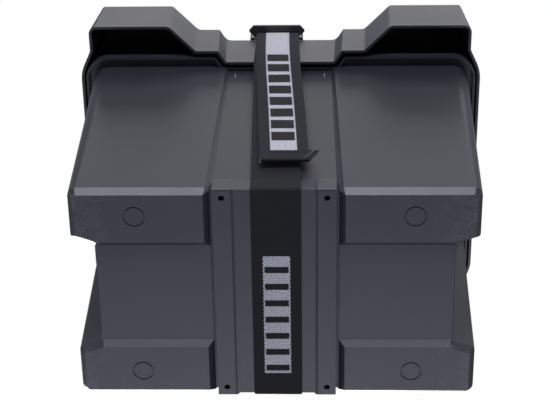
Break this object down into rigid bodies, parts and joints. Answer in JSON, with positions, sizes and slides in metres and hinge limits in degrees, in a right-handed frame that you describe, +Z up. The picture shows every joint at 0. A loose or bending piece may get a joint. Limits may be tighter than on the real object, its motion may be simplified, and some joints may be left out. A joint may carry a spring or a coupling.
{
  "type": "battery box",
  "caption": "Vented plastic battery box with a tapered tub, a hooded lift-off lid and a webbing hold-down strap with a sprung cam buckle.",
  "frame": {"origin": "centre of the box on the plane of the four feet", "axes": "+X along the box's length, +Z up from the feet to the lid, -Y towards the side where the strap's free tail hangs"},
  "size_m": [0.348, 0.2806, 0.2982],
  "materials": {
    "polymer": "fine grained black polypropylene with a slight sheen",
    "webbing": "black woven webbing with a grey woven centre stripe",
    "buckle": "satin black nylon",
    "steel": "plain bright steel"
  },
  "bodies": {
    "base_body": {"base": "polymer", "strap_under": "webbing", "strap_front_run": "webbing", "strap_back_run": "webbing"},
    "lid_body": {"lid": "polymer", "strap_lid_front": "webbing", "strap_over_lid": "webbing", "strap_tail": "webbing", "buckle_frame": "buckle", "buckle_pin": "steel", "buckle_spring": "steel"},
    "lever_body": {"buckle_lever": "buckle"}
  },
  "joints": [
    {"name": "lid_lift", "type": "slide", "parent": "base_body", "child": "lid_body", "axis": [0, -0.0839, 0.9965], "range_m": [0, 0.12]},
    {"name": "lever_open", "type": "hinge", "parent": "lid_body", "child": "lever_body", "pos_m": [-0.0045, -0.083, 0.2941], "axis": [-1, 0, 0], "range_deg": [0, 75], "stiffness_Nm_per_rad": 0.02, "springref_deg": -11.46}
  ]
}
